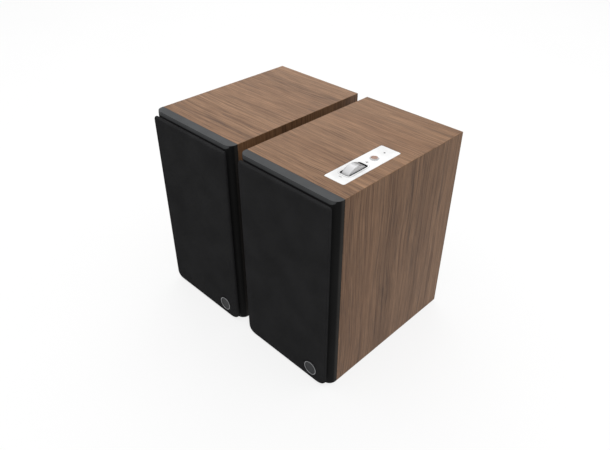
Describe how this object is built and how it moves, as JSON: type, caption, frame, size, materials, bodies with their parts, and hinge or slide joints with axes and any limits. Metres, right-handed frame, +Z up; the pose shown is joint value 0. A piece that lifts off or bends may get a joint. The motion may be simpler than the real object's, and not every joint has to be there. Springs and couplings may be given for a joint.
{
  "type": "desktop speakers",
  "caption": "Pair of walnut-veneered bookshelf speakers with black removable grilles; one is powered, with a top volume wheel and source button.",
  "frame": {"origin": "on the floor under the middle of the pair's bounding box at rest", "axes": "+Z up; the grilles face -Y; +X from the passive left speaker to the powered right speaker, as seen from the front"},
  "size_m": [0.3656, 0.2892, 0.3204],
  "materials": {
    "walnut_veneer": "satin walnut veneer",
    "black_satin": "satin black",
    "black_vinyl": "fine-grained black vinyl",
    "frame_plastic": "matt black moulding",
    "grille_cloth": "black woven grille cloth",
    "gunmetal": "gunmetal with a brushed ring",
    "silk_dome": "coated black silk",
    "ferrite": "dark ferrite and zinc-plated steel",
    "basket_metal": "black painted cast frame",
    "surround_rubber": "matt black rubber",
    "paper_cone": "treated dark paper",
    "spider_cloth": "resin-stiffened cloth",
    "foot_rubber": "matt black",
    "cap_red": "glossy red",
    "cap_black": "glossy black",
    "white_plate": "satin white",
    "circuit_board": "solder-masked board",
    "aluminium": "brushed",
    "steel": "plain",
    "copper": "satin copper colour",
    "chrome": "polished",
    "status_lens": "dark red translucent",
    "panel_metal": "fine-textured black powder coat",
    "terminal_plastic": "black moulding"
  },
  "bodies": {
    "right_speaker": {"right_cabinet": "walnut_veneer", "right_baffle": "black_satin", "right_rear_panel": "black_vinyl", "right_port_tube": "black_satin", "right_front_foot": "foot_rubber", "right_rear_foot": "foot_rubber", "right_tweeter_faceplate": "black_satin", "right_tweeter_motor": "ferrite", "right_woofer_basket": "basket_metal", "right_woofer_surround": "surround_rubber", "right_woofer_spider": "spider_cloth", "right_woofer_motor": "ferrite", "control_plate": "white_plate", "control_housing": "frame_plastic", "control_board": "circuit_board", "button_ring": "chrome", "status_lens": "status_lens", "amp_panel": "panel_metal", "amp_board": "circuit_board", "power_supply": "steel", "ac_inlet": "terminal_plastic", "switch_housing": "terminal_plastic", "rca_jacks": "terminal_plastic", "digital_ports": "terminal_plastic", "right_post_base": "terminal_plastic"},
    "left_speaker": {"left_cabinet": "walnut_veneer", "left_baffle": "black_satin", "left_rear_panel": "black_vinyl", "left_port_tube": "black_satin", "left_front_foot": "foot_rubber", "left_rear_foot": "foot_rubber", "left_tweeter_faceplate": "black_satin", "left_tweeter_motor": "ferrite", "left_woofer_basket": "basket_metal", "left_woofer_surround": "surround_rubber", "left_woofer_spider": "spider_cloth", "left_woofer_motor": "ferrite", "left_terminal_cup": "terminal_plastic", "crossover_board": "circuit_board"},
    "right_grille": {"right_grille_frame": "frame_plastic", "right_grille_cloth": "grille_cloth", "right_badge": "gunmetal"},
    "right_woofer": {"right_woofer_cone": "paper_cone", "right_woofer_dust_cap": "paper_cone"},
    "right_tweeter": {"right_tweeter_dome": "silk_dome"},
    "right_cap_red": {"right_post_cap_red": "cap_red"},
    "right_cap_black": {"right_post_cap_black": "cap_black"},
    "left_grille": {"left_grille_frame": "frame_plastic", "left_grille_cloth": "grille_cloth", "left_badge": "gunmetal"},
    "left_woofer": {"left_woofer_cone": "paper_cone", "left_woofer_dust_cap": "paper_cone"},
    "left_tweeter": {"left_tweeter_dome": "silk_dome"},
    "left_cap_red": {"left_post_cap_red": "cap_red"},
    "left_cap_black": {"left_post_cap_black": "cap_black"},
    "wheel": {"volume_wheel": "aluminium", "volume_axle": "steel"},
    "button": {"source_button": "copper"},
    "rocker": {"power_switch": "cap_black"}
  },
  "joints": [
    {"name": "left_speaker_spacing", "type": "slide", "parent": "right_speaker", "child": "left_speaker", "axis": [-1, 0, 0], "range_m": [0, 0.2]},
    {"name": "right_grille_pull", "type": "slide", "parent": "right_speaker", "child": "right_grille", "axis": [0, -1, 0], "range_m": [0, 0.12]},
    {"name": "right_woofer_travel", "type": "slide", "parent": "right_speaker", "child": "right_woofer", "axis": [0, -1, 0], "range_m": [-0.004, 0.004], "stiffness_N_per_m": 1000, "deforming": ["right_woofer_surround", "right_woofer_spider"]},
    {"name": "right_tweeter_travel", "type": "slide", "parent": "right_speaker", "child": "right_tweeter", "axis": [0, -1, 0], "range_m": [-0.0003, 0.0003], "stiffness_N_per_m": 800},
    {"name": "left_grille_pull", "type": "slide", "parent": "left_speaker", "child": "left_grille", "axis": [0, -1, 0], "range_m": [0, 0.12]},
    {"name": "left_woofer_travel", "type": "slide", "parent": "left_speaker", "child": "left_woofer", "axis": [0, -1, 0], "range_m": [-0.004, 0.004], "stiffness_N_per_m": 1000, "deforming": ["left_woofer_surround", "left_woofer_spider"]},
    {"name": "left_tweeter_travel", "type": "slide", "parent": "left_speaker", "child": "left_tweeter", "axis": [0, -1, 0], "range_m": [-0.0003, 0.0003], "stiffness_N_per_m": 800},
    {"name": "volume_turn", "type": "hinge", "parent": "right_speaker", "child": "wheel", "pos_m": [0.144, -0.06085, 0.2974], "axis": [1, 0, 0], "continuous": true},
    {"name": "source_button_press", "type": "slide", "parent": "right_speaker", "child": "button", "axis": [0, 0, -1], "range_m": [0, 0.0012], "stiffness_N_per_m": 600, "springref_m": -0.0008},
    {"name": "power_switch_rock", "type": "hinge", "parent": "right_speaker", "child": "rocker", "pos_m": [0.0941, 0.12645, 0.044], "axis": [1, 0, 0], "range_deg": [-18, 0]},
    {"name": "right_cap_red_turn", "type": "hinge", "parent": "right_speaker", "child": "right_cap_red", "pos_m": [0.0546, 0.13645, 0.176], "axis": [0, 1, 0], "range_deg": [0, 1350]},
    {"name": "right_cap_black_turn", "type": "hinge", "parent": "right_speaker", "child": "right_cap_black", "pos_m": [0.0736, 0.13645, 0.176], "axis": [0, 1, 0], "range_deg": [0, 1350]},
    {"name": "left_cap_red_turn", "type": "hinge", "parent": "left_speaker", "child": "left_cap_red", "pos_m": [-0.1056, 0.11385, 0.114], "axis": [0, 1, 0], "range_deg": [0, 1350]},
    {"name": "left_cap_black_turn", "type": "hinge", "parent": "left_speaker", "child": "left_cap_black", "pos_m": [-0.0866, 0.11385, 0.114], "axis": [0, 1, 0], "range_deg": [0, 1350]}
  ]
}
